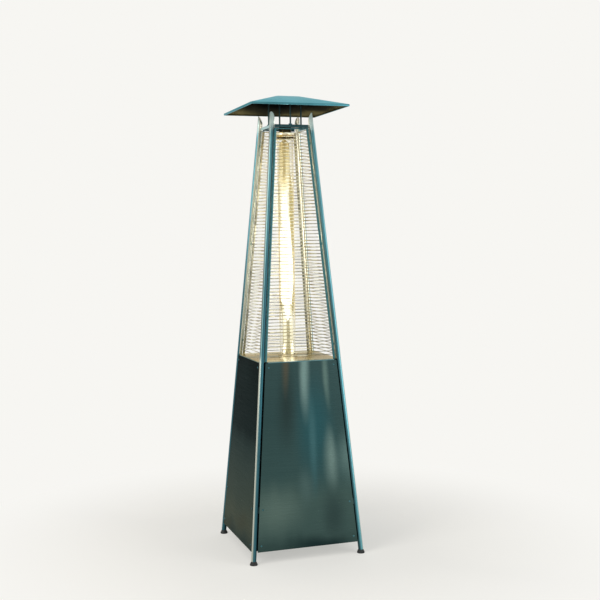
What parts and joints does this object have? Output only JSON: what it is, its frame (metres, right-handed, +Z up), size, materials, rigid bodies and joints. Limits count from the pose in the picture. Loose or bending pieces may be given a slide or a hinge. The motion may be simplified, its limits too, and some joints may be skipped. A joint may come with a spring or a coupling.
{
  "type": "pyramid patio heater",
  "caption": "Free-standing gas patio heater: leaning posts round a sheet base with a bottle door, a glass flame tube in wire guards, and a shallow square hood.",
  "frame": {"origin": "on the floor, under the middle of the heater", "axes": "+Z up, the long way of the object; -Y is the pictured front with the plain panel, and the bottle door and controls face +Y; +X is to the right as seen from the front"},
  "size_m": [0.594, 0.594, 2.27],
  "materials": {
    "tube_steel": "brushed tube",
    "panel_steel": "brushed along its width",
    "dark_steel": "brushed, in shade",
    "inner_steel": "plain mill finish",
    "deck_steel": "bright, lit by the flame",
    "guard_steel": "bright wire",
    "hood_steel": "brushed, bright on top",
    "rubber": "matt",
    "glass": "clear",
    "gasket": "woven ceramic fibre",
    "brass": "machined",
    "copper": "drawn copper tube",
    "black_plastic": "moulded, satin",
    "ceramic": "glazed insulator",
    "magnet": "moulded case"
  },
  "bodies": {
    "heater": {"post_front_left": "tube_steel", "post_front_right": "tube_steel", "post_rear_left": "tube_steel", "post_rear_right": "tube_steel", "foot_front_left": "rubber", "foot_front_right": "rubber", "foot_rear_left": "rubber", "foot_rear_right": "rubber", "base_plate": "inner_steel", "front_panel": "panel_steel", "left_panel": "dark_steel", "right_panel": "panel_steel", "control_panel": "panel_steel", "lower_hinge_bracket": "dark_steel", "lower_hinge_pin": "inner_steel", "upper_hinge_bracket": "dark_steel", "upper_hinge_pin": "inner_steel", "door_magnet": "magnet", "brace_front": "inner_steel", "brace_left": "inner_steel", "brace_right": "inner_steel", "deck_plate": "deck_steel", "burner_box": "inner_steel", "burner": "inner_steel", "injector": "brass", "pilot_bracket": "inner_steel", "pilot_tube": "inner_steel", "thermocouple": "copper", "ignition_electrode": "ceramic", "gas_pipe": "copper", "gas_valve": "brass", "gas_inlet": "brass", "tilt_switch": "black_plastic", "knob_dial": "dark_steel", "igniter_barrel": "black_plastic", "glass_socket": "inner_steel", "glass_seal": "gasket", "glass_tube": "glass", "flue_collar": "inner_steel", "upper_plate": "dark_steel", "guard_front": "guard_steel", "guard_right": "guard_steel", "guard_rear": "guard_steel", "guard_left": "guard_steel", "hood_stud_front": "tube_steel", "hood_stud_right": "tube_steel", "hood_stud_rear": "tube_steel", "hood_stud_left": "tube_steel", "hood": "hood_steel"},
    "door": {"bottle_door": "panel_steel", "lower_hinge_leaf": "dark_steel", "upper_hinge_leaf": "dark_steel", "door_pull": "black_plastic", "door_strike": "inner_steel"},
    "spindle": {"valve_spindle": "inner_steel"},
    "knob": {"control_knob": "black_plastic"},
    "igniter": {"igniter_button": "black_plastic"}
  },
  "joints": [
    {"name": "door_swing", "type": "hinge", "parent": "heater", "child": "door", "pos_m": [-0.24787, 0.2734, 0.16922], "axis": [0.0829, -0.0829, 0.9931], "range_deg": [0, 110]},
    {"name": "knob_turn", "type": "hinge", "parent": "heater", "child": "spindle", "pos_m": [0.05, 0.20604, 0.88], "axis": [0, 0.9965, 0.0832], "range_deg": [0, 180]},
    {"name": "knob_push", "type": "slide", "parent": "spindle", "child": "knob", "axis": [0, -0.9965, -0.0832], "range_m": [0, 0.004], "stiffness_N_per_m": 600, "springref_m": -0.003},
    {"name": "igniter_push", "type": "slide", "parent": "heater", "child": "igniter", "axis": [0, -0.9965, -0.0832], "range_m": [0, 0.004], "stiffness_N_per_m": 500, "springref_m": -0.003}
  ]
}
